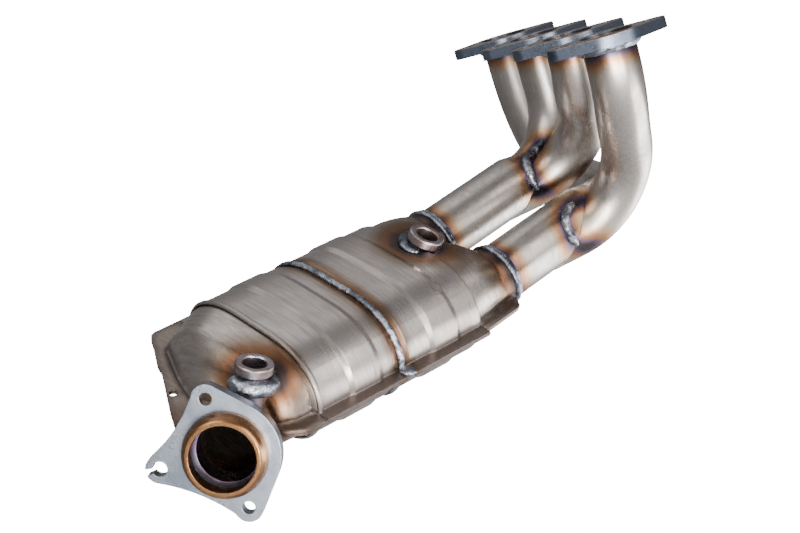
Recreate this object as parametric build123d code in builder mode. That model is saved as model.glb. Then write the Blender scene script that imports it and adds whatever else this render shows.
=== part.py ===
import math
import os

from build123d import *

os.makedirs("parts", exist_ok=True)

# Exhaust manifold with a close-coupled catalytic converter, millimetres.
# The part's frame: the origin is the middle of the row of four ports on the face that meets
# the cylinder head, X runs along the row from port 1 to port 4, Z points out of that face.
# Everything but the face itself is at negative Z.

# Ports and head flanges
port_pitch = 96.0            # one port to the next
port_count = 4
flange_thickness = 8.0       # head flange plate
stud_spacing = 64.0          # stud hole to stud hole across one flange
stud_hole = 9.0              # diameter, for an M8 stud
flange_waist = 28.0          # radius of the middle of a head flange
flange_ear = 10.0            # radius of a head flange's tips
flange_tip = 43.5            # port's middle to a flange's tip
tube_seat = 6.0              # how deep a tube stands in its head flange

# Tubes
tube_od = 38.0               # four primary tubes
secondary_od = 44.0          # two secondary pipes
tube_wall = 1.5
bend_radius = 57.0           # bend of tube 2
head_weld = (4.5, 4.0)       # how far the weld under a head flange reaches out and down
crotch_weld = 2.2            # size of the weld where two tubes join

# Can
can_centre = (96.7, -232.5, -144.6)
can_yaw, can_pitch, can_roll = 29.0, 2.2, 28.9   # degrees
can_half_width = 68.0
can_half_height = 37.5
can_wall = 1.5
can_half_length = 74.0       # joint to the rib at the outlet end
can_end = 77.0               # joint to either end of the body
band_height = 1.3            # how far the pressed bands stand out
bands = ((-46.4, -19.9), (29.0, 54.7))
rim_height = 1.2             # the rib at the outlet end
groove_depth = 1.0           # the two halves of the can dip to their joint
seam_width = 10.0            # width of the seam flange beside the can
seam_gap = 3.5               # half the break in the seam flange at the joint
weld_steps = ((-3, -0.9), (-2, 0.9), (0, 1.6), (2, 0.9), (3, -0.9))   # section of the body's weld
mat_thickness = 4.0
brick_near, brick_far = 10.0, 62.0   # ends of a ceramic brick from the joint

cone_lip = 11.0              # length of a cone inside the end of the body
fit_gap = 0.3                # clearance of parts that slip into each other
seam_leaf = 1.5              # thickness of a leaf of the seam flange
seam_side = 78.0             # middle of the body to the edge of its seam flange
seam_split = 0.5             # between the seam flanges of body and cone
seam_hole = (-134.2, 12.9, 6.0)      # place and diameter of the hole in the seam flange

# Outlet cone, oval by oval: its two sides in the seam plane, its rise, half height and lean,
# and how square its sides and top are
outlet_ovals = (
    ((-79.0, -63.5), (-80.5, 65.6), -0.1, 35.3, 0.0, 3.4, 1.9),
    ((-93.9, -62.9), (-107.5, 53.3), -1.0, 33.5, 2.0, 3.0, 1.9),
    ((-103.0, -60.5), (-122.5, 24.6), -4.5, 30.5, 8.0, 2.5, 2.0),
    ((-108.0, -58.0), (-134.5, 0.0), -10.0, 27.0, 17.0, 2.1, 2.0),
)
# Its seam flange, from one side of the outlet neck round to the other
outlet_seam = ((-143.7, -22.4), (-155.3, -14.8), (-148.4, -1.9), (-137.1, 16.6), (-125, 36.4),
               (-121.8, 45.4), (-110.7, 63.6), (-105.8, 72.8), (-102.8, 76.6), (-99, 78))
outlet_seam_right = ((-96.5, -78), (-107.3, -70.9), (-112.2, -60.4))
# Rear half of the inlet cone, oval by oval: place along, to the side and up, half width and
# height, squareness
inlet_ovals = (
    (80, 6.0, 0.2, 58.0, 35.4, 3.4, 1.9),
    (86, 13.0, 0.6, 50.0, 34.9, 3.1, 1.9),
    (92, 16.5, 1.0, 45.7, 34.1, 3.0, 1.92),
    (98, 19.5, 1.4, 41.5, 33.0, 2.8, 1.95),
    (106, 24.3, 1.9, 35.0, 30.6, 2.5, 1.97),
    (112, 28.6, 2.3, 29.6, 27.7, 2.25, 2.0),
)
inlet_seam_side = 74.5       # middle of the inlet cone to the edge of its seam flange
inlet_seam = ((113.6, 69.8), (118.6, 67.3), (121.5, 60), (122, 50))   # its flange, rear half

# Inlet necks
neck_x, neck_side, neck_rise = 126.0, 33.0, 4.0
neck_tilt = 9.5              # degrees that the secondary pipes rise from the seam plane
neck_length = 9.0            # socket that takes a secondary pipe
rear_crotch, front_crotch = 104.0, 108.1   # neck to the end of a secondary pipe
reducer = 12.0               # where a secondary pipe narrows to its main tube

# Outlet
outlet_face = (211.9, -336.6, -179.6)     # middle of the outlet flange's face
outlet_axis = Vector(0.953, -0.302, 0.0).normalized()
outlet_pipe_od = 45.0
outlet_thickness = 10.0
outlet_bolt_radius = 38.2
outlet_bolt_hole = 8.5
outlet_slot_radius = 45.0
outlet_slot_hole = 10.0
outlet_ear = 9.7
outlet_disc = 36.0
outlet_disc_left = -8.5      # the disc ends here, before the two drawn-in sides
outlet_top, outlet_bottom, outlet_left = 93.0, 275.5, 178.3   # where its bolts sit, degrees
outlet_slot = (2.0, 5.2)     # width of the slot at its hole and at the flange's edge
outlet_waist = 3.5           # how far the flange's two left sides are drawn in
outlet_pipe_seat = 2.0       # how deep the outlet pipe stands in the flange's back
ring_od, ring_bore, ring_height = 57.0, 44.4, 13.0
outlet_socket = 24.0         # flange face back to the end of the can's outlet neck
outlet_grip = 7.0            # length of that neck's straight end
outlet_side = Vector(0, 0, 1).cross(-outlet_axis).normalized()

# Where tubes 3 and 4 end, and the way they head there
branch_ends = {2: ((-25.0, -41.1, -107.7), (3.2, -55.3, -6.6)), 3: ((33.7, -32.9, -144.2), (5.3, -60.0, -7.5))}
branch_reach = 25.0          # how far a branch's shape runs on into the tube it joins

# Sensor bosses, each with its top's middle and its axis in the can's own axes
bosses = {"front": ((-105.7, -37.6, 40.0), (0.167, 0.021, 0.986)),
          "rear": ((86.0, -3.5, 44.0), (0.266, -0.199, 0.943))}
boss_od, boss_foot, boss_height = 26.0, 22.0, 15.0
boss_bore = 16.4             # core of an M18 x 1.5 thread
boss_thread = 16.0           # how far down the thread goes
boss_throat = 14.0           # diameter below the thread
boss_collar = 36.5           # across the weld round a boss
boss_rim = 6.0               # height of a boss's wider rim
boss_chamfer = 0.8
# Weld round each boss: lowest and highest point from the boss's top, start and sweep in degrees
collars = {"front": (-19.0, -8.2, 160.0, 290.0), "rear": (-15.0, -8.2, 20.0, 300.0)}


def turned(vector, degrees_, about):
    a = math.radians(degrees_)
    k = about.normalized()
    return vector * math.cos(a) + k.cross(vector) * math.sin(a) + k * (k.dot(vector) * (1 - math.cos(a)))


# Axes of the can: X from outlet to inlets, Z up out of the seam plane
_y, _p = math.radians(can_yaw), math.radians(can_pitch)
can_axis = Vector(-math.sin(_y) * math.cos(_p), math.cos(_y) * math.cos(_p), math.sin(_p))
level_side = Vector(-math.cos(_y), -math.sin(_y), 0)
can_side = turned(level_side, can_roll, can_axis)
can_up = can_axis.cross(can_side)
can_plane = Plane(origin=can_centre, x_dir=can_axis, z_dir=can_up)
can_middle = Plane(origin=can_centre, x_dir=can_axis, z_dir=can_side)


def at(x, y, z):
    """A point given in the can's own axes."""
    return can_plane.from_local_coords(Vector(x, y, z))


def toward(x, y, z):
    """A direction given in the can's own axes."""
    return (can_axis * x + can_side * y + can_up * z).normalized()


def station(x, y=0.0, z=0.0, turn=0.0, lean=0.0):
    """A plane across the can, its X to the can's side; turn swings it about the can's Z."""
    side = turned(can_side, turn, can_up)
    normal = turned(turned(can_axis, turn, can_up), -lean, side)
    return Plane(origin=at(x, y, z), x_dir=side, z_dir=normal)


def oval(plane, half_width, half_height, side=3.42, top=1.9):
    """A flat oval in four curves, which meet at its corners, clear of the planes it is cut at."""
    def place(a):
        c, s = math.cos(a), math.sin(a)
        return (half_width * math.copysign(abs(c) ** (2 / side), c),
                half_height * math.copysign(abs(s) ** (2 / top), s))

    with BuildSketch(plane) as drawn:
        with BuildLine():
            for quarter in range(4):
                angles = [math.radians(90 * quarter - 45 + 22.5 * i) for i in range(5)]
                Spline(*[place(a) for a in angles])
        make_face()
    return drawn.sketch


def disc(plane, radius):
    with BuildSketch(plane) as drawn:
        Circle(radius)
    return drawn.sketch


def along(origin, direction, x_dir=None):
    return Plane(origin=origin, x_dir=x_dir, z_dir=direction)


# Secondary pipe axes, from each neck toward the head
pipe_axis = toward(math.cos(math.radians(neck_tilt)), 0, math.sin(math.radians(neck_tilt)))
neck_front = at(neck_x, -neck_side, neck_rise)
neck_rear = at(neck_x, neck_side, neck_rise)
front_end = neck_front + pipe_axis * front_crotch
rear_end = neck_rear + pipe_axis * rear_crotch

ports = [Vector((k - (port_count - 1) / 2) * port_pitch, 0, 0) for k in range(port_count)]


def tube_route(k):
    """Centre line of one primary tube, from its head flange to its joint."""
    start = Vector(ports[k].X, 0, -flange_thickness)
    with BuildLine() as route:
        if k == 0:
            Line(start + (0, 0, tube_seat), start)
            Bezier(start, start + (0, 0, -23.3), (-130.6, -4.8, -105.4), (-142.5, 4.2, -171.8),
                   front_end + pipe_axis * 88.9, front_end)
        elif k == 1:
            Line(start + (0, 0, tube_seat), start)
            bend = Vector(start.X, 0, -45.5)
            Line(start, bend)
            TangentArc(bend, rear_end, tangent=(0, 0, -1))
        elif k == 2:
            Line(start + (0, 0, tube_seat), start)
            end = Vector(*branch_ends[2][0])
            Bezier(start, start + (0, 0, -12.4), (45.7, 4.2, -43.4), (21.1, -12.9, -62.3),
                   (17.5, 25.6, -44.7), (-28.2, 14.2, -101.1), end)
        else:
            Line(start + (0, 0, tube_seat), start)
            end = Vector(*branch_ends[3][0])
            Bezier(start, start + (0, 0, -51.8), (111.0, 2.1, -62.1), (59.5, 15.3, -98.7),
                   (66.3, 22.5, -72.6), (28.4, 27.1, -136.7), end)
    return route.line


def tube_solid(k, radius):
    route = tube_route(k)
    with BuildPart() as solid:
        with BuildSketch(Plane(origin=(ports[k].X, 0, -flange_thickness + tube_seat), z_dir=(0, 0, -1))):
            Circle(radius)
        sweep(path=route)
    return solid.part


def pipe_solid(neck, length, radius, end_radius):
    """A secondary pipe from inside its neck, narrowing at its far end to its main tube."""
    with BuildPart() as solid:
        with BuildSketch(along(neck - pipe_axis * (neck_length - 4), pipe_axis)):
            Circle(radius)
        extrude(amount=length - reducer + neck_length - 4)
        loft(sections=[disc(along(neck + pipe_axis * (length - reducer), pipe_axis, can_side), radius),
                       disc(along(neck + pipe_axis * length, pipe_axis, can_side), end_radius)])
    return solid.part


def band(near, far):
    """Stations of a pressed band that stands out between near and far."""
    way = math.copysign(2, far - near)
    return [(near - way, 0), (near + way, band_height), (far - way, band_height), (far + way, 0)]


def body_half(way, inset):
    """One half of the can's body, from the joint outward; way is -1 for the outlet half."""
    past = 2.0 if inset else 0.0
    w, h = can_half_width - inset, can_half_height - inset
    steps = [(-way * past, -groove_depth)] * (past > 0)
    steps += [(0, -groove_depth), (way * 3.5, -groove_depth), (way * 7, 0)]
    if way < 0:
        steps += band(bands[0][1], bands[0][0])
        steps += [(-can_half_length + 1.5, 0), (-can_half_length + 0.2, rim_height)]
        steps += [(-can_half_length - 1.8, rim_height), (-can_end - past, 0)]
    else:
        steps += band(*bands[1]) + [(can_end + past, 0)]
    with BuildPart() as solid:
        loft(sections=[oval(station(x), w + e, h + e) for x, e in steps], ruled=True)
    return solid.part


def lip(way, inset):
    """The two ovals of a cone's end that stands inside the body."""
    past = 2.0 if inset else 0.0
    w, h = can_half_width - can_wall - fit_gap - inset, can_half_height - can_wall - fit_gap - inset
    return [oval(station(way * x), w, h) for x in (can_end - cone_lip - past, can_end)]


def outlet_cone(inset):
    past = 2.0 if inset else 0.0
    rings = lip(-1, inset)
    for right, left, rise, height, lean, side, top in outlet_ovals:
        across = Vector(left[0] - right[0], left[1] - right[1], 0)
        middle = (Vector(*right, 0) + Vector(*left, 0)) * 0.5
        turn = math.degrees(math.atan2(-across.X, across.Y))
        place = station(middle.X, middle.Y, rise, turn, -lean)
        rings.append(oval(place, across.length / 2 - inset, height - inset, side, top))
    r = outlet_pipe_od / 2 + fit_gap + can_wall - inset
    for back in (outlet_socket + outlet_grip, outlet_socket - past):
        place = Plane(origin=Vector(outlet_face) - outlet_axis * back, x_dir=outlet_side,
                      z_dir=-outlet_axis)
        rings.append(oval(place, r, r, 2, 2))
    with BuildPart() as solid:
        loft(sections=rings, ruled=True)
    return solid.part


def inlet_cone(inset):
    """The shape whose rear half is the rear half of the inlet cone."""
    past = 2.0 if inset else 0.0
    r = secondary_od / 2 + fit_gap + can_wall - inset
    rings = lip(1, inset)
    rings += [oval(station(x, y, z), w - inset, h - inset, side, top)
              for x, y, z, w, h, side, top in inlet_ovals]
    for back in (neck_length, -past):
        place = Plane(origin=neck_rear - pipe_axis * back, x_dir=can_side, z_dir=pipe_axis)
        rings.append(oval(place, r, r, 2, 2))
    with BuildPart() as solid:
        loft(sections=rings, ruled=True)
    return solid.part


def leaf(points, side):
    """A plate on the seam plane, on its upper side (1) or its lower side (-1)."""
    with BuildPart() as solid:
        with BuildSketch(can_plane):
            with BuildLine():
                Polyline(*points, close=True)
            make_face()
        extrude(amount=side * seam_leaf)
    return solid.part


def boss_plane(top, axis):
    """At the top of a sensor boss, its X toward the inlets."""
    return Plane(origin=at(*top), x_dir=can_axis, z_dir=toward(*axis))


def ring(place, profile, start=0.0, sweep_=360.0):
    """A turned solid: profile is (radius, height) points, height along the plane's Z."""
    across = Plane(origin=place.origin, x_dir=turned(place.x_dir, start, place.z_dir),
                   z_dir=turned(place.y_dir, start, place.z_dir) * -1)
    with BuildPart() as solid:
        with BuildSketch(across):
            with BuildLine():
                Polyline(*profile, close=True)
            make_face()
        revolve(axis=Axis(place.origin, place.z_dir), revolution_arc=sweep_)
    return solid.part


def bead(radius, low, high, swell, inner):
    """Profile of a rounded bead between the heights low and high, from inner out to radius."""
    middle, half = (low + high) / 2, (high - low) / 2
    arc = [(radius - swell + swell * math.cos(a), middle + half * math.sin(a))
           for a in (math.radians(d) for d in (-90, -60, -30, 0, 30, 60, 90))]
    return [(inner, low)] + arc + [(inner, high)]


def cut_pipe(neck, length, inset, extra=0.0):
    """A secondary pipe's shape, its wall thinner by inset or thicker by extra."""
    change = extra - inset
    return pipe_solid(neck, length, secondary_od / 2 + change, tube_od / 2 + change)


def branch(k, radius):
    """A branch tube's shape, run on through the wall of the tube that it joins."""
    end, way = branch_ends[k]
    with BuildPart() as solid:
        add(tube_solid(k, radius))
        with BuildSketch(along(end, Vector(*way).normalized())):
            Circle(radius)
        extrude(amount=branch_reach)
    return solid.part


def sensor_bore(place):
    """The hollow of a sensor boss: its thread's core, then a narrower throat."""
    with BuildPart() as solid:
        with BuildSketch(place):
            Circle(boss_bore / 2)
        extrude(amount=-boss_thread)
        with BuildSketch(place):
            Circle(boss_throat / 2)
        extrude(amount=-2 * boss_height)
    return solid.part


def save(piece, name):
    piece.part.label = name
    export_step(piece.part, f"parts/{name}.step")


# Head flanges, each with a tube's seat and a weld under it
flange_points = [(0, way * (flange_tip - flange_ear)) for way in (-1, 1)]
for k, port in enumerate(ports):
    with BuildPart() as head_flange:
        with BuildSketch(Plane(origin=port)) as plate:
            with Locations(*flange_points):
                Circle(flange_ear)
            Circle(flange_waist)
            make_hull()
            Circle(tube_od / 2, mode=Mode.SUBTRACT)
            with Locations((0, -stud_spacing / 2), (0, stud_spacing / 2)):
                Circle(stud_hole / 2, mode=Mode.SUBTRACT)
        extrude(amount=-flange_thickness)
    save(head_flange, f"head_flange_{k + 1}")

# Primary tubes: 1 and 2 run on from the secondary pipes, 3 and 4 join them from the side
tube_outsides = [tube_solid(0, tube_od / 2), tube_solid(1, tube_od / 2),
                 branch(2, tube_od / 2), branch(3, tube_od / 2)]
tube_bores = [tube_solid(0, tube_od / 2 - tube_wall), tube_solid(1, tube_od / 2 - tube_wall),
              branch(2, tube_od / 2 - tube_wall), branch(3, tube_od / 2 - tube_wall)]
# One row for each side of the can: its neck, its pipe's length, its main tube and its branch
runs = {"front": (neck_front, front_crotch, 0, 3), "rear": (neck_rear, rear_crotch, 1, 2)}
for side, (neck, length, main, joined) in runs.items():
    outside = cut_pipe(neck, length, 0)
    with BuildPart() as primary_tube:
        add(tube_outsides[main])
        add(outside, mode=Mode.SUBTRACT)
        add(tube_bores[main], mode=Mode.SUBTRACT)
        add(tube_bores[joined], mode=Mode.SUBTRACT)
    save(primary_tube, f"primary_tube_{main + 1}")
    with BuildPart() as primary_tube:
        add(tube_outsides[joined])
        add(outside, mode=Mode.SUBTRACT)
        add(tube_outsides[main], mode=Mode.SUBTRACT)
        add(tube_bores[joined], mode=Mode.SUBTRACT)
    save(primary_tube, f"primary_tube_{joined + 1}")
    with BuildPart() as secondary_pipe:
        add(outside)
        add(cut_pipe(neck, length, tube_wall), mode=Mode.SUBTRACT)
        add(tube_bores[joined], mode=Mode.SUBTRACT)
    save(secondary_pipe, f"secondary_pipe_{side}")
    # The weld fills the corner between the branch and what it joins
    with BuildPart() as crotch:
        add(cut_pipe(neck, length, 0, crotch_weld))
        add(tube_solid(main, tube_od / 2 + crotch_weld))
        add(branch(joined, tube_od / 2 + crotch_weld), mode=Mode.INTERSECT)
        add(outside, mode=Mode.SUBTRACT)
        add(tube_outsides[main], mode=Mode.SUBTRACT)
        add(tube_outsides[joined], mode=Mode.SUBTRACT)
    save(crotch, f"crotch_weld_{side}")
    # Two ridges of weld round the pipe where it enters its neck
    r = secondary_od / 2
    with BuildPart() as neck_weld:
        add(ring(Plane(origin=neck, x_dir=can_side, z_dir=pipe_axis),
                 bead(r + 3.6, 0, 3.6, 1.8, r)))
        add(ring(Plane(origin=neck, x_dir=can_side, z_dir=pipe_axis),
                 bead(r + 2.6, 3.2, 6.8, 1.6, r)))
    save(neck_weld, f"neck_weld_{side}")

for k, port in enumerate(ports):
    reach, drop = head_weld
    r = tube_od / 2
    with BuildPart() as weld:
        add(ring(Plane(origin=port - (0, 0, flange_thickness)),
                 [(r - 2, 0), (r + reach, 0), (r + reach * 0.75, -drop * 0.45), (r + reach * 0.3, -drop),
                  (r - 2, -drop)]))
        add(tube_outsides[k], mode=Mode.SUBTRACT)
    save(weld, f"head_weld_{k + 1}")

# Can body: two halves, each of two shells with their leaves of the seam flange
for end, way in (("outlet", -1), ("inlet", 1)):
    outside, inside = body_half(way, 0), body_half(way, can_wall)
    near, far = way * seam_gap, way * can_end
    corners = ((near, -seam_side), (far, -seam_side), (far, seam_side), (near, seam_side))
    for level, side in (("upper", 1), ("lower", -1)):
        with BuildPart() as shell:
            add(outside)
            split(bisect_by=can_plane, keep=Keep.TOP if side > 0 else Keep.BOTTOM)
            add(leaf(corners, side))
            add(inside, mode=Mode.SUBTRACT)
            if side > 0 and way > 0:
                add(sensor_bore(boss_plane(*bosses["rear"])), mode=Mode.SUBTRACT)
        save(shell, f"{level}_{end}_shell")
    # Ceramic brick and the mat that holds it
    w, h = can_half_width - can_wall, can_half_height - can_wall
    places = (way * brick_near, way * brick_far)
    with BuildPart() as brick:
        loft(sections=[oval(station(x), w - mat_thickness, h - mat_thickness) for x in places], ruled=True)
    with BuildPart() as mat:
        loft(sections=[oval(station(x), w - fit_gap, h - fit_gap) for x in places], ruled=True)
        add(brick.part, mode=Mode.SUBTRACT)
    save(brick, f"{end}_brick")
    save(mat, f"{end}_mat")

# Weld between the two halves of the body
with BuildPart() as body_weld:
    w, h = can_half_width, can_half_height
    loft(sections=[oval(station(x), w + e, h + e) for x, e in weld_steps], ruled=True)
    loft(sections=[oval(station(x), w - groove_depth, h - groove_depth) for x in (-3.5, 3.5)],
         ruled=True, mode=Mode.SUBTRACT)
save(body_weld, "body_weld")

# Outlet cone, in two shells; the upper one carries the front sensor boss
outlet_outside, outlet_inside = outlet_cone(0), outlet_cone(can_wall)
edge = -can_end - seam_split
outlet_leaf = outlet_seam + ((edge, seam_side), (edge, -seam_side)) + outlet_seam_right
for level, side in (("upper", 1), ("lower", -1)):
    with BuildPart() as cone:
        add(outlet_outside)
        split(bisect_by=can_plane, keep=Keep.TOP if side > 0 else Keep.BOTTOM)
        add(leaf(outlet_leaf, side))
        add(outlet_inside, mode=Mode.SUBTRACT)
        with BuildSketch(Plane(origin=at(*seam_hole[:2], 0), x_dir=can_axis, z_dir=can_up)):
            Circle(seam_hole[2] / 2)
        extrude(amount=side * seam_leaf, mode=Mode.SUBTRACT)
        if side > 0:
            add(sensor_bore(boss_plane(*bosses["front"])), mode=Mode.SUBTRACT)
    save(cone, f"{level}_outlet_cone")

# Inlet cone, in two shells, each drawn for its rear half and mirrored
inlet_outside, inlet_inside = inlet_cone(0), inlet_cone(can_wall)
edge = can_end + seam_split
web_end = inlet_seam[-1][0]
inlet_leaf = ((edge, 0), (edge, inlet_seam_side)) + inlet_seam + ((web_end, 0),)
for level, side in (("upper", 1), ("lower", -1)):
    with BuildPart() as cone:
        add(inlet_outside)
        split(bisect_by=can_plane, keep=Keep.TOP if side > 0 else Keep.BOTTOM)
        split(bisect_by=can_middle, keep=Keep.TOP)
        add(leaf(inlet_leaf, side))
        add(inlet_inside, mode=Mode.SUBTRACT)
        mirror(about=can_middle)
        if side > 0:
            add(sensor_bore(boss_plane(*bosses["rear"])), mode=Mode.SUBTRACT)
    save(cone, f"{level}_inlet_cone")
with BuildPart() as inlet_filled:
    add(inlet_outside)
    split(bisect_by=can_middle, keep=Keep.TOP)
    mirror(about=can_middle)

# Sensor bosses: a rim above a narrower foot that stands on the cone, in a collar of weld
r, foot = boss_od / 2, boss_foot / 2
for side, cone_shape in (("front", outlet_outside), ("rear", inlet_filled.part)):
    place = boss_plane(*bosses[side])
    with BuildPart() as boss:
        add(ring(place, [(boss_throat / 2, -2 * boss_height), (boss_throat / 2, -boss_thread),
                         (boss_bore / 2, -boss_thread), (boss_bore / 2, -boss_chamfer),
                         (boss_bore / 2 + boss_chamfer, 0), (r - boss_chamfer, 0), (r, -boss_chamfer),
                         (r, -boss_rim), (foot, -boss_rim - (r - foot)), (foot, -2 * boss_height)]))
        add(cone_shape, mode=Mode.SUBTRACT)
        if side == "rear":
            add(outside, mode=Mode.SUBTRACT)
    save(boss, f"sensor_boss_{side}")
    low, high, start, turn_ = collars[side]
    with BuildPart() as collar:
        add(ring(place, bead(boss_collar / 2, low, high, 4.0, foot), start, turn_))
        add(cone_shape, mode=Mode.SUBTRACT)
        if side == "rear":
            add(outside, mode=Mode.SUBTRACT)
    save(collar, f"boss_weld_{side}")

# Outlet: pipe, flange, sealing ring and the welds at both ends of the pipe
face = Plane(origin=outlet_face, x_dir=-outlet_side, z_dir=outlet_axis)
r = outlet_pipe_od / 2
pipe_end = outlet_thickness - outlet_pipe_seat
with BuildPart() as outlet_pipe:
    with BuildSketch(face.offset(-pipe_end)):
        Circle(r)
        Circle(r - tube_wall, mode=Mode.SUBTRACT)
    extrude(amount=-(outlet_socket + outlet_grip - 1 - pipe_end))
save(outlet_pipe, "outlet_pipe")

ears = [(radius * math.cos(math.radians(a)), radius * math.sin(math.radians(a)))
        for radius, a in ((outlet_bolt_radius, outlet_top), (outlet_bolt_radius, outlet_bottom),
                          (outlet_slot_radius, outlet_left))]
top, bottom, left = (Vector(*ear, 0) for ear in ears)
with BuildPart() as outlet_flange:
    with BuildSketch(face):
        Circle(outlet_disc)
        with Locations((outlet_disc_left, 0)):
            Rectangle(outlet_disc, 2 * outlet_disc, align=(Align.MAX, Align.CENTER), mode=Mode.SUBTRACT)
        with Locations(*ears[:2]):
            Circle(outlet_ear)
        make_hull()
        with Locations(ears[2]):
            Circle(outlet_ear)
        # The two sides beside the slot are drawn in a little
        with BuildLine():
            a, b = Vector(-8.5, 45.5), Vector(-49.5, 9.9)
            c, d = Vector(-48.0, -8.0), Vector(-2.7, -44.0)
            ThreePointArc(a, (a + b) / 2 + Vector(0.65, -0.76) * outlet_waist, b)
            Line(b, c)
            ThreePointArc(c, (c + d) / 2 + Vector(0.62, 0.78) * outlet_waist, d)
            Line(d, a)
        make_face()
        with Locations(*ears[:2]):
            Circle(outlet_bolt_hole / 2, mode=Mode.SUBTRACT)
        with Locations(ears[2]):
            Circle(outlet_slot_hole / 2, mode=Mode.SUBTRACT)
        near, far = (width / 2 for width in outlet_slot)
        with BuildLine():
            Polyline(left + (0, near), left + (-1.2 * outlet_ear, far), left + (-1.2 * outlet_ear, -far),
                     left + (0, -near), close=True)
        make_face(mode=Mode.SUBTRACT)
        Circle(ring_bore / 2, mode=Mode.SUBTRACT)
    extrude(amount=-outlet_thickness)
    with BuildSketch(face.offset(-outlet_thickness)):
        Circle(r)
    extrude(amount=outlet_pipe_seat, mode=Mode.SUBTRACT)
save(outlet_flange, "outlet_flange")

with BuildPart() as sealing_ring:
    add(ring(face, [(ring_bore / 2, 0), (ring_od / 2, 0), (ring_od / 2, ring_height * 0.35),
                    (ring_od / 2 - 1.2, ring_height * 0.7), (ring_od / 2 - 2.8, ring_height * 0.93),
                    (ring_od / 2 - 4, ring_height), (ring_bore / 2, ring_height)]))
save(sealing_ring, "sealing_ring")

with BuildPart() as outlet_weld:
    add(ring(face.offset(-outlet_thickness), [(r, 0), (r + 4.5, 0), (r + 3.4, -2), (r + 1.4, -4), (r, -4)]))
save(outlet_weld, "outlet_weld")
with BuildPart() as outlet_neck_weld:
    add(ring(face.offset(-outlet_socket), bead(r + 3.6, 0, 4.5, 2.0, r)))
save(outlet_neck_weld, "outlet_neck_weld")
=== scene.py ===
# %% [markdown]
# # Exhaust manifold with a close-coupled catalytic converter
# The object is pressed sheet, bent tube and cut plate, mostly stainless steel, welded together.
# Its shapes come from the CAD frame. This file gives each piece its finish: brushed steel, heat
# tint beside the welds, pitted weld metal, zinc on the outlet flange and a copper-gold sealing
# ring. It adds the few beads that only the welder's hand makes, a studio and a camera.

import bpy
import numpy as np
from mathutils import Matrix, Vector


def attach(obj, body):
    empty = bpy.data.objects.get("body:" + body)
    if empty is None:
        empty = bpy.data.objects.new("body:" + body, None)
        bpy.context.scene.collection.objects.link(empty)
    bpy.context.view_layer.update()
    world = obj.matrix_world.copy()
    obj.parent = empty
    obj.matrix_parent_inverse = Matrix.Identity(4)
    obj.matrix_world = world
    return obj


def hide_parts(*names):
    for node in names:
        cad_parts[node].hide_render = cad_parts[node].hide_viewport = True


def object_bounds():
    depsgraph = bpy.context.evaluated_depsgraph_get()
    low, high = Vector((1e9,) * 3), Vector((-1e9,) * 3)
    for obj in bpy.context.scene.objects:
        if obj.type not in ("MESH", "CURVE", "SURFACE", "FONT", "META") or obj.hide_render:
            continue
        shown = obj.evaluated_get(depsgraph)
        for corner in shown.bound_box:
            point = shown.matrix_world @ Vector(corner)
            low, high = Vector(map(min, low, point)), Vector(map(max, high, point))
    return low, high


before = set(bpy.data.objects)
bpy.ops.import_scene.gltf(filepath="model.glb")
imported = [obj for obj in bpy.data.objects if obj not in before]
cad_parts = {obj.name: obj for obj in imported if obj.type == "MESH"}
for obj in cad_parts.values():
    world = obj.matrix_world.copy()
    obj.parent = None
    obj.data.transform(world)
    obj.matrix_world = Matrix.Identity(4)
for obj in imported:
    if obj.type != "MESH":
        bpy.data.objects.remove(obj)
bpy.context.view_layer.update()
bpy.ops.object.select_all(action="DESELECT")
print("CAD nodes:", len(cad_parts))

# %% [markdown]
# ## The can's own axes
# The can lies askew in the frame, and its lines of brushing run round it. Each shell could be
# unwrapped by itself, but then the lines would jump at the seams. One set of axes, turned to
# lie along, across and up the can, keeps the pattern whole over all its shells.

# %% Axes of the can
CAN_MIDDLE = Vector((0.0967, -0.2325, -0.1446))
CAN_ALONG = Vector((-0.4845, 0.8740, 0.0384)).normalized()
CAN_UP = Vector((0.4383, 0.2057, 0.8750)).normalized()
CAN_ACROSS = CAN_UP.cross(CAN_ALONG).normalized()
CAN_AXES = Matrix((CAN_ALONG, CAN_ACROSS, CAN_UP))
print("the can runs along", [round(share, 3) for share in CAN_ALONG])

# %% [markdown]
# ## Rings of weld
# Heat tint spreads from the welds, so a finish has to know how near the next weld is. A mask
# could be painted on each piece, which is slow and ends at the piece's edge. But each weld is
# close to a ring, and a ring is only a centre, a direction and a radius. So a circle is fitted
# to the weld's points: first their plane, from the way they spread, then the circle in it.

# %% Circle through a weld
RING_WELDS = [f"head_weld_{k}" for k in (1, 2, 3, 4)]
RING_WELDS += ["neck_weld_front", "neck_weld_rear", "boss_weld_front", "boss_weld_rear",
               "outlet_weld", "outlet_neck_weld"]


def node_points(name):
    """The points of a CAD node's mesh, where they stand."""
    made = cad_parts[name]
    return [made.matrix_world @ vertex.co for vertex in made.data.vertices]


def fitted_circle(points):
    """Centre, normal and radius of the circle nearest to some points, in metres."""
    points = np.array(points)
    spread = points - points.mean(axis=0)
    axes = np.linalg.svd(spread, full_matrices=False)[2]
    flat = spread @ axes[:2].T
    known = np.linalg.lstsq(np.column_stack((2 * flat, np.ones(len(flat)))),
                            (flat ** 2).sum(axis=1), rcond=None)[0]
    centre = points.mean(axis=0) + known[:2] @ axes[:2]
    return Vector(centre), Vector(axes[2]), float(np.sqrt(known[2] + (known[:2] ** 2).sum()))


welds = [fitted_circle(node_points(name)) for name in RING_WELDS]
print("rings of weld:", len(welds))

# %% [markdown]
# ## Short beads where the side tubes join
# On the real manifold a side tube meets its secondary pipe with a short bead that curves over
# the crease and ends round. Its middle line is a handful of points chosen on the tubes. They
# serve twice: here a circle through them places the tint, and later the bead follows them.

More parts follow.
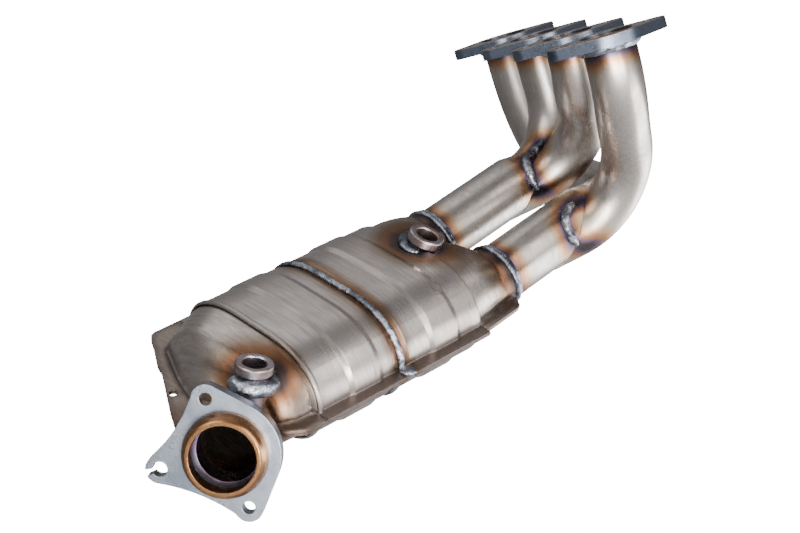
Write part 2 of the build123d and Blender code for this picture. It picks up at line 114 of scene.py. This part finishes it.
# %% Middle lines of the short beads
MM_PER_M = 1000
BEAD_LINES_MM = {
    "rear": ((-24.3, -21.8, -78.8), (-22.2, -29.3, -82.8), (-18.9, -36.1, -84.9),
             (-13.6, -41.3, -88.5), (-7.4, -43.0, -95.8), (-5.5, -42.4, -103.8),
             (-5.6, -40.5, -110.5)),
    "front": ((44.2, -28.6, -121.8), (47.6, -35.0, -123.2), (51.9, -39.7, -126.9),
              (56.2, -41.9, -133.4), (57.2, -41.0, -142.0), (54.0, -37.2, -150.4)),
}
welds += [fitted_circle(np.array(line) / MM_PER_M) for line in BEAD_LINES_MM.values()]
print("radii of all welds in mm:", [round(weld[2] * MM_PER_M, 1) for weld in welds])

# %% [markdown]
# ## Helpers for shader nodes
# A finish is a small tree of shader nodes. Placed by hand, each node is a menu and some clicks.
# In a script these helpers do it: a node with its settings and links, a sum, a mix of two
# colours, a ramp of colours, and an empty node group with named sockets.

# %% Nodes, sums and mixes
# A Mix node has sockets for every type of value, and these are the ones for colours
MIX_FACTOR, MIX_A, MIX_B, MIX_RESULT = 0, 6, 7, 2


def node(tree, kind, links=None, values=None, **settings):
    """Add a node; links maps its inputs to other nodes' outputs, values to plain values."""
    made = tree.nodes.new(kind)
    for name, value in settings.items():
        setattr(made, name, value)
    for key, value in (values or {}).items():
        made.inputs[key].default_value = value
    for key, socket in (links or {}).items():
        tree.links.new(socket, made.inputs[key])
    return made


def math_node(tree, operation, *inputs):
    """The output of a Math node; each input is a number or another node's output."""
    made = tree.nodes.new("ShaderNodeMath")
    made.operation = operation
    for slot, value in zip(made.inputs, inputs):
        if isinstance(value, (int, float)):
            slot.default_value = value
        else:
            tree.links.new(value, slot)
    return made.outputs[0]


def mix_colours(tree, factor, first, second):
    """The output of a Mix node; the second colour may be plain numbers."""
    made = node(tree, "ShaderNodeMix", {MIX_FACTOR: factor, MIX_A: first}, data_type="RGBA")
    if isinstance(second, tuple):
        made.inputs[MIX_B].default_value = (*second, 1)
    else:
        tree.links.new(second, made.inputs[MIX_B])
    return made.outputs[MIX_RESULT]


# %% Ramps and groups
def ramp(tree, factor, stops):
    """The output of a Color Ramp with stops of (place, colour)."""
    made = tree.nodes.new("ShaderNodeValToRGB")
    elements = made.color_ramp.elements
    while len(elements) < len(stops):
        elements.new(0.5)
    for element, (place, colour) in zip(elements, stops):
        element.position = place
        element.color = (*colour, 1)
    tree.links.new(factor, made.inputs["Fac"])
    return made.outputs["Color"]


def grey_stops(shares):
    """Stops for a ramp that is used as a mask, from (place, share)."""
    return [(place, (share, share, share)) for place, share in shares]


def new_group(name, inputs, outputs):
    """An empty node group with named sockets, and its two end nodes."""
    tree = bpy.data.node_groups.new(name, "ShaderNodeTree")
    for label, kind in inputs:
        tree.interface.new_socket(label, in_out="INPUT", socket_type=kind)
    for label, kind in outputs:
        tree.interface.new_socket(label, in_out="OUTPUT", socket_type=kind)
    return tree, tree.nodes.new("NodeGroupInput"), tree.nodes.new("NodeGroupOutput")


# %% [markdown]
# ## Distance from the nearest weld
# A point's height above a ring's plane and its distance out from the ring itself are two sides
# of a right triangle, and the long side is how far the weld is. The group works this out for
# each ring and keeps the smallest. Real tint has a wavy edge, so noise makes it uneven.

# %% Distance from one ring
def distance_from_ring(tree, place, centre, normal, radius):
    """The output that says how far a place is from a ring."""
    apart = node(tree, "ShaderNodeVectorMath", {0: place}, {1: centre},
                 operation="SUBTRACT").outputs["Vector"]
    height = node(tree, "ShaderNodeVectorMath", {0: apart}, {1: normal},
                  operation="DOT_PRODUCT").outputs["Value"]
    whole = node(tree, "ShaderNodeVectorMath", {0: apart, 1: apart},
                 operation="DOT_PRODUCT").outputs["Value"]
    height_square = math_node(tree, "MULTIPLY", height, height)
    outward_square = math_node(tree, "SUBTRACT", whole, height_square)
    outward = math_node(tree, "SQRT", math_node(tree, "MAXIMUM", outward_square, 0.0))
    beyond = math_node(tree, "SUBTRACT", outward, radius)
    return math_node(tree, "SQRT", math_node(tree, "MULTIPLY_ADD", beyond, beyond, height_square))


# %% Group: weld distance
BEAD_HALF_WIDTH = 0.0028
FAR_AWAY = 10.0
distance_group, group_in, group_out = new_group(
    "weld distance", [("Place", "NodeSocketVector"), ("Unevenness", "NodeSocketFloat")],
    [("Distance", "NodeSocketFloat")])
nearest = FAR_AWAY
for centre, normal, radius in welds:
    to_ring = distance_from_ring(distance_group, group_in.outputs["Place"], centre, normal, radius)
    nearest = math_node(distance_group, "MINIMUM", to_ring, nearest)
wave = node(distance_group, "ShaderNodeTexNoise", {"Vector": group_in.outputs["Place"]},
            {"Scale": 55.0, "Detail": 3.0}).outputs["Fac"]
offset = math_node(distance_group, "MULTIPLY", math_node(distance_group, "SUBTRACT", wave, 0.5),
                   group_in.outputs["Unevenness"])
uneven = math_node(distance_group, "ADD", nearest, offset)
from_bead = math_node(distance_group, "SUBTRACT", uneven, BEAD_HALF_WIDTH)
distance_group.links.new(math_node(distance_group, "MAXIMUM", from_bead, 0.0),
                         group_out.inputs["Distance"])
print("weld distance:", len(distance_group.nodes), "nodes")

# %% [markdown]
# ## Heat tint
# Steel that has been hot keeps a thin film whose colour tells how hot it was. A photograph of
# it would fit one piece only, so it is made as a ramp of colours over the distance from the
# weld. The thin tubes go through purple and orange to straw. The thick shells are burnt dark
# beside the weld, then orange-brown.

# %% Making a tint group
def tint(name, film_colours, film_shares):
    """A group that lays the film over the steel, by distance as a share of its reach."""
    tree, entry, leave = new_group(
        name, [("Distance", "NodeSocketFloat"), ("Steel", "NodeSocketColor"),
               ("Reach", "NodeSocketFloat")], [("Color", "NodeSocketColor")])
    share = math_node(tree, "DIVIDE", entry.outputs["Distance"], entry.outputs["Reach"])
    film = ramp(tree, share, film_colours)
    fade = ramp(tree, share, grey_stops(film_shares))
    mixed = mix_colours(tree, fade, entry.outputs["Steel"], film)
    tree.links.new(mixed, leave.inputs["Color"])
    print(name, "has", len(film_colours), "colours")
    return tree


# %% Groups: tube tint and shell tint
TUBE_FILM = [
    (0.00, (0.03, 0.022, 0.03)),     # black beside the weld
    (0.12, (0.08, 0.045, 0.085)),    # purple
    (0.24, (0.23, 0.085, 0.022)),    # orange-brown
    (0.42, (0.36, 0.18, 0.06)),      # orange
    (0.68, (0.42, 0.32, 0.22)),      # straw
    (1.00, (0.44, 0.40, 0.36)),      # nearly clean
]
SHELL_FILM = [
    (0.00, (0.030, 0.024, 0.024)),   # black beside the weld
    (0.12, (0.05, 0.028, 0.022)),    # burnt
    (0.26, (0.14, 0.046, 0.007)),    # deep orange
    (0.50, (0.13, 0.066, 0.022)),    # brown
    (0.75, (0.20, 0.130, 0.08)),     # pale brown
    (1.00, (0.34, 0.30, 0.27)),      # nearly clean
]
tube_tint = tint("tube tint", TUBE_FILM, [(0.0, 0.95), (0.3, 0.85), (0.6, 0.5), (1.0, 0.0)])
shell_tint = tint("shell tint", SHELL_FILM, [(0.0, 0.97), (0.4, 0.85), (0.7, 0.5), (1.0, 0.0)])

# %% [markdown]
# ## Brushed steel
# Rolled sheet and drawn tube show fine lines one way. Noise whose coordinates are stretched
# gives such lines on any shape, and needs no unwrapping. A softer noise, like clouds, is added
# so that the metal isn't the same all over. Together they set the colour and the roughness.

# %% Group: brushing
LINES_SHARE = 0.55
CLOUD_SHARE = 1 - LINES_SHARE
brush_group, group_in, group_out = new_group(
    "brushing", [("Place", "NodeSocketVector"), ("Stretch", "NodeSocketVector"),
                 ("Light", "NodeSocketColor"), ("Dark", "NodeSocketColor")],
    [("Color", "NodeSocketColor"), ("Roughness", "NodeSocketFloat"), ("Height", "NodeSocketFloat")])
stretched = node(brush_group, "ShaderNodeVectorMath",
                 {0: group_in.outputs["Place"], 1: group_in.outputs["Stretch"]},
                 operation="MULTIPLY").outputs["Vector"]
lines = node(brush_group, "ShaderNodeTexNoise", {"Vector": stretched},
             {"Scale": 1.0, "Detail": 6.0, "Roughness": 0.62}).outputs["Fac"]
cloud = node(brush_group, "ShaderNodeTexNoise", {"Vector": group_in.outputs["Place"]},
             {"Scale": 28.0, "Detail": 4.0, "Roughness": 0.55}).outputs["Fac"]
both = math_node(brush_group, "MULTIPLY_ADD", lines, LINES_SHARE,
                 math_node(brush_group, "MULTIPLY", cloud, CLOUD_SHARE))
shade = node(brush_group, "ShaderNodeMapRange", {"Value": both},
             {"From Min": 0.36, "From Max": 0.64}).outputs["Result"]
tone = mix_colours(brush_group, shade, group_in.outputs["Dark"], group_in.outputs["Light"])
rough = node(brush_group, "ShaderNodeMapRange", {"Value": both},
             {"From Min": 0.35, "From Max": 0.65, "To Min": 0.44, "To Max": 0.24}).outputs["Result"]
brush_group.links.new(tone, group_out.inputs["Color"])
brush_group.links.new(rough, group_out.inputs["Roughness"])
brush_group.links.new(lines, group_out.inputs["Height"])
print("brushing:", len(brush_group.nodes), "nodes")

# %% [markdown]
# ## Materials
# Each finish is a material of its own, with the Principled shader in it, and the groups above
# feed its colour, roughness and bump. Sharp CAD edges look wrong on pressed metal. A Bevel
# modifier would cut hundreds of faces, so the Bevel node only bends the shading at the edges.

# %% Helpers for materials
EDGE_ROUNDING = 0.0008


def new_material(name, metallic=1.0, roughness=0.35):
    """A material with its node tree and its Principled shader."""
    made = bpy.data.materials.new(name)
    made.use_nodes = True
    shader = made.node_tree.nodes["Principled BSDF"]
    shader.inputs["Metallic"].default_value = metallic
    shader.inputs["Roughness"].default_value = roughness
    return made, made.node_tree, shader


def add_bump(tree, shader, height, strength, depth, rounding=EDGE_ROUNDING):
    """Low relief, over edges that the Bevel node rounds by a given radius."""
    rounded = node(tree, "ShaderNodeBevel", values={"Radius": rounding}, samples=4)
    bump = node(tree, "ShaderNodeBump", {"Height": height, "Normal": rounded.outputs["Normal"]},
                {"Strength": strength, "Distance": depth})
    tree.links.new(bump.outputs["Normal"], shader.inputs["Normal"])


def dress(material, names):
    """Give the CAD nodes with these names a finish."""
    for name in names:
        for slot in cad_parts[name].material_slots:
            slot.material = material
    print(material.name, "on", len(names), "nodes")


# %% [markdown]
# ## What only the can has
# Three things on the can depend on where a point lies in the can's own axes. The brushing
# follows them. The weld round the body is an oval and not a ring, but it lies in one plane
# across the can, so its tint goes by the distance from that plane. And the seam flange, which
# lies in the can's middle plane, is brown from the heat of its own seam.

# %% Place, body weld and seam
BODY_TINT_NARROWING = 1.7
BODY_WELD_HALF_WIDTH = 0.005
BODY_TINT_WAVINESS = 0.012
SEAM_REACH = 0.025
SEAM_SHARES = [(0.0, 0.8), (0.064, 0.8), (0.08, 0.5), (0.5, 0.0)]
SEAM_BROWN = (0.13, 0.097, 0.08)


def can_place(tree, place):
    """Object coordinates moved and turned to the can's own axes."""
    moved = node(tree, "ShaderNodeVectorMath", {0: place}, {1: CAN_MIDDLE}, operation="SUBTRACT")
    turned = node(tree, "ShaderNodeMapping", {"Vector": moved.outputs["Vector"]},
                  {"Rotation": CAN_AXES.to_euler()}, vector_type="POINT")
    return turned.outputs["Vector"]


def body_weld_distance(tree, along, brushing):
    """Distance from the body's weld, with an edge that follows the lines of brushing."""
    beside = math_node(tree, "ABSOLUTE", along)
    straight = math_node(tree, "MULTIPLY_ADD", beside, BODY_TINT_NARROWING, -BODY_WELD_HALF_WIDTH)
    return math_node(tree, "MULTIPLY_ADD", brushing, BODY_TINT_WAVINESS, straight)


def browned_seam(tree, up, colour):
    """The colour, browned on the seam flange and a little above and below it."""
    level = math_node(tree, "ABSOLUTE", up)
    share = ramp(tree, math_node(tree, "MULTIPLY", level, 1 / SEAM_REACH), grey_stops(SEAM_SHARES))
    return mix_colours(tree, share, colour, SEAM_BROWN)


# %% [markdown]
# ## A finish for sheet and tube
# Shells, cones and tubes are the same metal with other lines, tints and dents, so one function
# makes all three. The bump adds broad shallow dents to the lines, since pressed sheet is never
# quite smooth and a dead smooth surface would look like plastic.

# %% Steel with tint
TINT_UNEVENNESS = 0.009
LINES_IN_RELIEF = 0.10
DENT_DEPTH = 0.0012


def steel(name, light, dark, stretch, film, reach, relief, rounding, on_can=False, on_body=False):
    """Brushed steel with heat tint; the body is the part of the can that its weld goes round."""
    material, tree, shader = new_material(name)
    place = node(tree, "ShaderNodeTexCoord").outputs["Object"]
    lined = can_place(tree, place) if on_can else place
    brushed = node(tree, "ShaderNodeGroup", {"Place": lined},
                   {"Stretch": stretch, "Light": (*light, 1), "Dark": (*dark, 1)},
                   node_tree=brush_group)
    distance = node(tree, "ShaderNodeGroup", {"Place": place}, {"Unevenness": TINT_UNEVENNESS},
                    node_tree=distance_group).outputs["Distance"]
    axes = node(tree, "ShaderNodeSeparateXYZ", {"Vector": lined}).outputs if on_can else None
    if on_body:
        beside = body_weld_distance(tree, axes["X"], brushed.outputs["Height"])
        distance = math_node(tree, "MINIMUM", distance, beside)
    colour = node(tree, "ShaderNodeGroup",
                  {"Distance": distance, "Steel": brushed.outputs["Color"]}, {"Reach": reach},
                  node_tree=film).outputs["Color"]
    if on_can:
        colour = browned_seam(tree, axes["Z"], colour)
    tree.links.new(colour, shader.inputs["Base Color"])
    tree.links.new(brushed.outputs["Roughness"], shader.inputs["Roughness"])
    dents = node(tree, "ShaderNodeTexNoise", {"Vector": place}, {"Scale": 26.0, "Detail": 1.0})
    height = math_node(tree, "MULTIPLY_ADD", brushed.outputs["Height"], LINES_IN_RELIEF,
                       dents.outputs["Fac"])
    add_bump(tree, shader, height, relief, DENT_DEPTH, rounding)
    return material


# %% [markdown]
# ## Shells of the can
# The four shells of the body are pressed from rolled sheet, whose fine lines run round the
# can. The stretch is large along the can and small across it, so that the noise changes
# quickly along the can and slowly round it. That is what draws it out into lines. Only the
# body takes the tint of its own weld as well.

# %% Shells
shell_steel = steel("brushed shell steel", light=(0.50, 0.455, 0.43), dark=(0.30, 0.265, 0.25),
                    stretch=(900.0, 40.0, 40.0), film=shell_tint, reach=0.026, relief=0.28,
                    rounding=0.0018, on_can=True, on_body=True)
dress(shell_steel, ["upper_outlet_shell", "lower_outlet_shell", "upper_inlet_shell",
                    "lower_inlet_shell"])

# %% [markdown]
# ## Cones
# The cones are drawn deeper than the shells, which smears the lines of the sheet. So their
# lines are coarser, their tint reaches farther from the necks, and their edges are rounder.

# %% Cones
cone_steel = steel("brushed cone steel", light=(0.50, 0.455, 0.42), dark=(0.29, 0.255, 0.235),
                   stretch=(420.0, 60.0, 60.0), film=shell_tint, reach=0.034, relief=0.28,
                   rounding=0.007, on_can=True)
dress(cone_steel, ["upper_outlet_cone", "lower_outlet_cone", "upper_inlet_cone",
                   "lower_inlet_cone"])

# %% [markdown]
# ## Tubes and pipes
# Drawn tube is brighter than sheet, with long streaks down its length. Most of the manifold's
# tubes hang downwards, so a small stretch along the frame's height draws the streaks that way.

# %% Tubes
TUBES = [f"primary_tube_{k}" for k in (1, 2, 3, 4)]
TUBES += ["secondary_pipe_front", "secondary_pipe_rear", "outlet_pipe"]
tube_steel = steel("drawn tube steel", light=(0.54, 0.50, 0.465), dark=(0.35, 0.315, 0.29),
                   stretch=(230.0, 230.0, 9.0), film=tube_tint, reach=0.020, relief=0.10,
                   rounding=EDGE_ROUNDING)
dress(tube_steel, TUBES)

# %% [markdown]
# ## Weld metal
# A bead is melted wire. It is blue-grey with dark patches of burnt scale and some rust, and
# its surface is pitted and rippled. The patches are one noise through a ramp of colours, and
# the ripple is a finer noise that sets both the bump and the roughness, so that the pits
# are dull and the ridges shine.

# %% Weld metal
SCALE_AND_METAL = [
    (0.30, (0.05, 0.05, 0.065)),     # burnt scale
    (0.44, (0.15, 0.16, 0.19)),      # dull metal
    (0.56, (0.36, 0.40, 0.46)),      # bright blue-grey metal
    (0.70, (0.16, 0.125, 0.11)),     # rust
]
RIPPLE_STRENGTH = 0.7
RIPPLE_DEPTH = 0.0012


def weld_material():
    """Patches of scale, metal and rust, under a fine ripple."""
    material, tree, shader = new_material("pitted weld metal")
    place = node(tree, "ShaderNodeTexCoord").outputs["Object"]
    ripple = node(tree, "ShaderNodeTexNoise", {"Vector": place},
                  {"Scale": 260.0, "Detail": 5.0, "Roughness": 0.6}).outputs["Fac"]
    patch = node(tree, "ShaderNodeTexNoise", {"Vector": place},
                 {"Scale": 70.0, "Detail": 2.0}).outputs["Fac"]
    tree.links.new(ramp(tree, patch, SCALE_AND_METAL), shader.inputs["Base Color"])
    rough = node(tree, "ShaderNodeMapRange", {"Value": ripple},
                 {"From Min": 0.3, "From Max": 0.7, "To Min": 0.18, "To Max": 0.48})
    tree.links.new(rough.outputs["Result"], shader.inputs["Roughness"])
    add_bump(tree, shader, ripple, RIPPLE_STRENGTH, RIPPLE_DEPTH)
    return material


weld_metal = weld_material()
dress(weld_metal, RING_WELDS + ["body_weld", "crotch_weld_front", "crotch_weld_rear"])

# %% [markdown]
# ## Lumps
# In the CAD frame the beads are smooth rings. The lumps could be sculpted, but three modifiers
# give them to every bead alike and leave the CAD nodes' own vertices alone. Remesh makes the
# mesh fine and even, Smooth rounds it, and Displace pushes it in and out by a cloud texture.

# %% Lumps of hand welding
BEAD_SOFTENING = 0.6
weld_lumps = bpy.data.textures.new("weld lumps", "CLOUDS")
weld_lumps.noise_scale = 0.006


def add_lumps(bead, voxel, rounds, strength, mid_level):
    """Modifiers that round a bead and make it lumpy."""
    remesh = bead.modifiers.new("even mesh", "REMESH")
    remesh.mode = "VOXEL"
    remesh.voxel_size = voxel
    remesh.use_smooth_shade = True
    rounding = bead.modifiers.new("rounding", "SMOOTH")
    rounding.factor = BEAD_SOFTENING
    rounding.iterations = rounds
    lumps = bead.modifiers.new("lumps", "DISPLACE")
    lumps.texture = weld_lumps
    lumps.texture_coords = "LOCAL"
    lumps.strength = strength
    lumps.mid_level = mid_level


for name in RING_WELDS + ["body_weld"]:
    add_lumps(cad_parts[name], voxel=0.0007, rounds=8, strength=0.0013, mid_level=0.42)
print("lumpy beads:", len(RING_WELDS) + 1)

# %% [markdown]
# ## Short beads
# The short beads are made along the middle lines chosen above. A curve is quicker than pushing
# a cylinder into shape: it is given a round section, which gets thinner at both ends, and is
# then turned into a mesh. The same three modifiers follow, and here they are applied, because
# this is a new piece. Each bead stands in for the smooth weld of the CAD frame at its place.

# %% A bead along a line
BEAD_RADIUS = 0.0034
END_SHARE = 0.55


def bead_curve(name, line_mm):
    """A mesh tube along a line, thinner at its ends."""
    bpy.ops.curve.primitive_bezier_curve_add(location=(0, 0, 0))
    curve = bpy.context.object
    curve.name = name
    curve.data.dimensions = "3D"
    knots = curve.data.splines[0].bezier_points
    knots.add(len(line_mm) - len(knots))
    for knot, place in zip(knots, line_mm):
        knot.co = Vector(place) / MM_PER_M
        knot.handle_left_type = "AUTO"
        knot.handle_right_type = "AUTO"
        knot.radius = END_SHARE if place in (line_mm[0], line_mm[-1]) else 1.0
    curve.data.bevel_depth = BEAD_RADIUS
    curve.data.bevel_resolution = 6
    curve.data.resolution_u = 16
    curve.data.use_fill_caps = True
    bpy.ops.object.convert(target="MESH")
    return bpy.context.object


# %% Two short beads
for side, line_mm in BEAD_LINES_MM.items():
    bead = bead_curve(f"crotch_bead_{side}", line_mm)
    add_lumps(bead, voxel=0.0006, rounds=6, strength=0.0020, mid_level=0.5)
    for name in ("even mesh", "rounding", "lumps"):
        bpy.ops.object.modifier_apply(modifier=name)
    bpy.ops.object.shade_smooth()
    bead.data.materials.clear()
    bead.data.materials.append(weld_metal)
    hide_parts(f"crotch_weld_{side}")
    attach(bead, "root")
    bpy.ops.object.select_all(action="DESELECT")
    print(bead.name, "has", len(bead.data.polygons), "faces")

# %% [markdown]
# ## Lump on the seam flange
# The weld round the body ends in a lump that fills the break in the seam flange. It has no
# shape that could be drawn, so a sphere is flattened, turned to the can's axes, and pushed
# out of shape by the same texture as the beads.

# %% Lump
LUMP_RADIUS = 0.0062
LUMP_SHARES = (0.95, 0.80, 0.50)
LUMP_ACROSS = 0.0735
LUMP_RISE = 0.0018
bpy.ops.mesh.primitive_uv_sphere_add(
    segments=40, ring_count=24, radius=LUMP_RADIUS,
    location=CAN_MIDDLE - CAN_ACROSS * LUMP_ACROSS + CAN_UP * LUMP_RISE)
blob = bpy.context.object
blob.name = "weld_blob"
blob.rotation_euler = CAN_AXES.transposed().to_euler()
blob.scale = LUMP_SHARES
bpy.ops.object.transform_apply(location=True, rotation=True, scale=True)
blob_lumps = blob.modifiers.new("lumps", "DISPLACE")
blob_lumps.texture = weld_lumps
blob_lumps.strength = 0.0030
bpy.ops.object.modifier_apply(modifier="lumps")
bpy.ops.object.shade_smooth()
blob.data.materials.append(weld_metal)
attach(blob, "root")
bpy.ops.object.select_all(action="DESELECT")
print(blob.name, "has", len(blob.data.polygons), "faces")

# %% [markdown]
# ## Plates, bosses and ring
# Cut and turned pieces have no lines of brushing. They are mottled by their coating or by
# heat, so one function makes a plain metal whose colour and roughness follow a soft noise,
# with a very fine grain as bump.

# %% A mottled metal
GRAIN_STRENGTH = 0.3


def ground_top(tree, place, colour, top):
    """The colour, changed on faces that lie at the head's plane, which is at height 0."""
    height = node(tree, "ShaderNodeSeparateXYZ", {"Vector": place}).outputs["Z"]
    upper = node(tree, "ShaderNodeMapRange", {"Value": height},
                 {"From Min": -0.0009, "From Max": -0.0003, "To Max": 0.8})
    return mix_colours(tree, upper.outputs["Result"], colour, top)


def plate(name, light, dark, grain, roughness, depth, top=None):
    """Plain metal with a mottled colour; top is another colour for faces at the head's plane."""
    material, tree, shader = new_material(name)
    place = node(tree, "ShaderNodeTexCoord").outputs["Object"]
    noise = node(tree, "ShaderNodeTexNoise", {"Vector": place},
                 {"Scale": grain, "Detail": 5.0}).outputs["Fac"]
    colour = ramp(tree, noise, [(0.35, dark), (0.65, light)])
    if top:
        colour = ground_top(tree, place, colour, top)
    tree.links.new(colour, shader.inputs["Base Color"])
    smoothest, roughest = roughness
    rough = node(tree, "ShaderNodeMapRange", {"Value": noise},
                 {"From Min": 0.3, "From Max": 0.7, "To Min": roughest, "To Max": smoothest})
    tree.links.new(rough.outputs["Result"], shader.inputs["Roughness"])
    fine = node(tree, "ShaderNodeTexNoise", {"Vector": place}, {"Scale": 900.0, "Detail": 3.0})
    add_bump(tree, shader, fine.outputs["Fac"], GRAIN_STRENGTH, depth)
    return material


# %% [markdown]
# ## Flanges
# The head flanges are thick plate that has turned blue-grey, and their top faces are ground
# and browner. The outlet flange is plated with zinc, so it is paler and evenly grey.

# %% Flanges
flange_steel = plate("blue-grey flange steel", light=(0.22, 0.26, 0.33), dark=(0.07, 0.08, 0.11),
                     grain=60, roughness=(0.20, 0.42), depth=0.0003, top=(0.27, 0.22, 0.20))
dress(flange_steel, [f"head_flange_{k}" for k in (1, 2, 3, 4)])
zinc_plate = plate("zinc-plated plate", light=(0.36, 0.39, 0.44), dark=(0.155, 0.175, 0.21),
                   grain=45, roughness=(0.26, 0.42), depth=0.0004)
dress(zinc_plate, ["outlet_flange"])

# %% [markdown]
# ## Bosses, ring and ceramic
# The sensor bosses are turned steel with a faint violet tint. The sealing ring is a warm
# copper-gold. The ceramic bricks and their mats are inside the can, and get a dull pale coat.

# %% Bosses, ring and ceramic
boss_steel = plate("tinted boss steel", light=(0.50, 0.45, 0.50), dark=(0.24, 0.17, 0.14),
                   grain=80, roughness=(0.22, 0.42), depth=0.0003)
dress(boss_steel, ["sensor_boss_front", "sensor_boss_rear"])
ring_metal = plate("copper-gold ring", light=(0.40, 0.205, 0.09), dark=(0.20, 0.095, 0.045),
                   grain=50, roughness=(0.18, 0.36), depth=0.0003)
dress(ring_metal, ["sealing_ring"])
ceramic = plate("coated ceramic", light=(0.50, 0.45, 0.38), dark=(0.36, 0.32, 0.26),
                grain=120, roughness=(0.8, 0.95), depth=0.0008)
dress(ceramic, ["inlet_brick", "outlet_brick", "inlet_mat", "outlet_mat"])

# %% [markdown]
# ## Backdrop
# The part floats on plain white. A white that bright all round would wash out the metal, since
# metal shows what it reflects. The Light Path node tells the camera's own rays from the rest:
# the camera sees strong white, and the metal sees a pale floor and a dim grey surround.

# %% Floor
BACKDROP_STRENGTH = 18.0
FLOOR_SIZE = 30.0
FLOOR_DROP = 0.35
lowest = Vector(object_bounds()[0]).z
bpy.ops.mesh.primitive_plane_add(size=FLOOR_SIZE, location=(0, 0, lowest - FLOOR_DROP))
floor = bpy.context.object
floor.name = "floor"
floor_material, tree, shader = new_material("pale floor", metallic=0.0, roughness=0.9)
shader.inputs["Base Color"].default_value = (0.55, 0.55, 0.55, 1)
seen = node(tree, "ShaderNodeLightPath")
white = node(tree, "ShaderNodeEmission", values={"Strength": BACKDROP_STRENGTH})
mix = node(tree, "ShaderNodeMixShader", {0: seen.outputs["Is Camera Ray"], 1: shader.outputs[0],
                                         2: white.outputs[0]})
tree.links.new(mix.outputs[0], tree.nodes["Material Output"].inputs["Surface"])
floor.data.materials.append(floor_material)
print("floor at", round(lowest - FLOOR_DROP, 3), "m")

# %% World
SURROUND_STRENGTH = 0.35
world = bpy.data.worlds.new("studio")
bpy.context.scene.world = world
world.use_nodes = True
tree = world.node_tree
tree.nodes.clear()
backdrop = node(tree, "ShaderNodeBackground",
                values={"Color": (1, 1, 1, 1), "Strength": BACKDROP_STRENGTH})
surround = node(tree, "ShaderNodeBackground",
                values={"Color": (0.80, 0.80, 0.82, 1), "Strength": SURROUND_STRENGTH})
seen = node(tree, "ShaderNodeLightPath")
mix = node(tree, "ShaderNodeMixShader", {0: seen.outputs["Is Camera Ray"], 1: surround.outputs[0],
                                         2: backdrop.outputs[0]})
node(tree, "ShaderNodeOutputWorld", {"Surface": mix.outputs[0]})
print("world:", world.name)

# %% [markdown]
# ## Camera
# The camera stands where the photograph was taken from. Its place, its three directions and
# its focal length in pixels were worked out from points whose places on the object are known.
# Blender wants the focal length in millimetres, on a sensor that is as wide as the picture.

# %% Camera
VIEW_RIGHT = Vector((0.1926, 0.9397, -0.2825))
VIEW_UP = Vector((-0.1063, 0.3062, 0.9460))
VIEW_BACK = Vector((0.9755, -0.1521, 0.1589))
CAMERA_PLACE = Vector((1.4679, -0.3895, 0.1059))
FOCAL_LENGTH_PX = 1995.0
IMAGE_WIDTH_PX = 800.0
SENSOR_WIDTH_MM = 36.0
camera_data = bpy.data.cameras.new("camera")
camera_data.sensor_width = SENSOR_WIDTH_MM
camera_data.lens = FOCAL_LENGTH_PX / IMAGE_WIDTH_PX * SENSOR_WIDTH_MM
camera_data.clip_end = 100.0
camera = bpy.data.objects.new("camera", camera_data)
bpy.context.scene.collection.objects.link(camera)
turn = Matrix((VIEW_RIGHT, VIEW_UP, VIEW_BACK)).transposed().to_4x4()
camera.matrix_world = Matrix.Translation(CAMERA_PLACE) @ turn
bpy.context.scene.camera = camera
print("focal length:", round(camera_data.lens, 1), "mm")

# %% [markdown]
# ## Lights
# Brushed metal needs large soft lights, which it shows as broad sheens. The key light is high
# on the left. The fill on the right and the low light have most of the power, because the side
# of the can and the walls of the tubes face the camera and reflect what is low and in front.
# The light above is weak, which keeps the top of the can darker than its side. The last two
# are local: one for the outlet, one that gives the side of the can its bright strip.

# %% Lights
MIDDLE = (0.03, -0.15, -0.1)
OUTLET_SIDE = (0.2, -0.336, -0.18)
CAN_WALL = (0.08, -0.25, -0.15)


def soft_light(name, place, aim, size, power):
    """A rectangular light at a place, turned to its aim."""
    data = bpy.data.lights.new(name, "AREA")
    data.shape = "RECTANGLE"
    data.size, data.size_y = size
    data.energy = power
    lamp = bpy.data.objects.new(name, data)
    bpy.context.scene.collection.objects.link(lamp)
    lamp.location = place
    lamp.rotation_euler = (Vector(aim) - Vector(place)).to_track_quat("-Z", "Y").to_euler()


soft_light("key", place=(0.9, -0.9, 1.3), aim=MIDDLE, size=(1.2, 0.8), power=13)
soft_light("fill", place=(1.3, 0.9, 0.3), aim=MIDDLE, size=(1.0, 1.2), power=22)
soft_light("top", place=(-0.4, 0.1, 1.5), aim=MIDDLE, size=(1.4, 1.0), power=5)
soft_light("low", place=(1.3, -0.1, -0.5), aim=MIDDLE, size=(1.1, 0.5), power=55)
soft_light("front fill", place=(1.5, -0.55, -0.05), aim=OUTLET_SIDE, size=(0.9, 0.7), power=11)
soft_light("wall strip", place=(0.05, 0.35, -0.52), aim=CAN_WALL, size=(0.9, 0.45), power=9)
print("lights:", len(bpy.data.lights))
